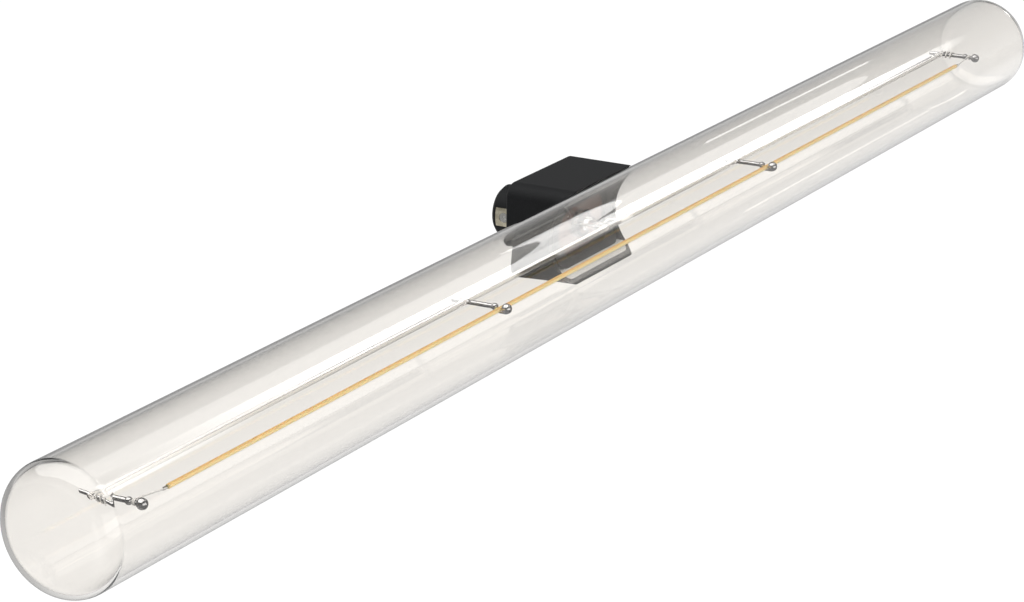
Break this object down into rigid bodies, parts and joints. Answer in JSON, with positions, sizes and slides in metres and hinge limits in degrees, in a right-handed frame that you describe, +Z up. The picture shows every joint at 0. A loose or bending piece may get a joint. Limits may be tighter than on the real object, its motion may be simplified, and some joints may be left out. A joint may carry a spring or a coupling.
{
  "type": "tubular light bulb",
  "caption": "Clear tubular filament lamp, 500 mm long and 30 mm across, with a long straight filament on ball-headed posts and one cap with a round peg at the middle of its back.",
  "frame": {"origin": "middle of the cap's seat face, on the peg's axis", "axes": "+X along the tube; +Y out of the cap along its peg, towards the lamp holder; +Z up as hung on a wall"},
  "size_m": [0.5, 0.053, 0.03],
  "materials": {
    "clear_glass": "clear",
    "steel_wire": "drawn and headed",
    "nickel_wire": "drawn",
    "phosphor": "moulded silicone",
    "strip_metal": "tinned",
    "cap_plastic": "moulded",
    "tray_plastic": "moulded",
    "cement": "cast",
    "laminate": "laminated",
    "contact_metal": "nickel plated",
    "rivet_metal": "headed",
    "can_aluminium": "drawn",
    "film_box": "moulded",
    "ferrite": "sintered",
    "copper_wire": "enamelled copper",
    "chip_epoxy": "moulded",
    "fuse_lacquer": "lacquered",
    "absorber_lacquer": "lacquered",
    "wire_insulation": "extruded"
  },
  "bodies": {
    "root": {"glass_tube": "clear_glass", "glass_stem": "clear_glass", "support_rod": "clear_glass", "support_post_1": "steel_wire", "support_post_2": "steel_wire", "support_post_3": "steel_wire", "support_post_4": "steel_wire", "filament_strip": "strip_metal", "filament_coat": "phosphor", "filament_tail_left": "nickel_wire", "filament_tail_right": "nickel_wire", "lead_in_wire_left": "nickel_wire", "lead_in_wire_right": "nickel_wire", "cap_housing": "cap_plastic", "contact_strip_left": "contact_metal", "contact_strip_right": "contact_metal", "contact_rivets": "rivet_metal", "driver_tray": "tray_plastic", "basing_cement": "cement", "driver_board": "laminate", "smoothing_capacitor": "can_aluminium", "film_capacitor": "film_box", "choke_core": "ferrite", "choke_winding": "copper_wire", "rectifier_chip": "chip_epoxy", "driver_chip": "chip_epoxy", "fuse_resistor": "fuse_lacquer", "surge_absorber": "absorber_lacquer", "supply_wire_left": "wire_insulation", "supply_wire_right": "wire_insulation"}
  },
  "joints": []
}
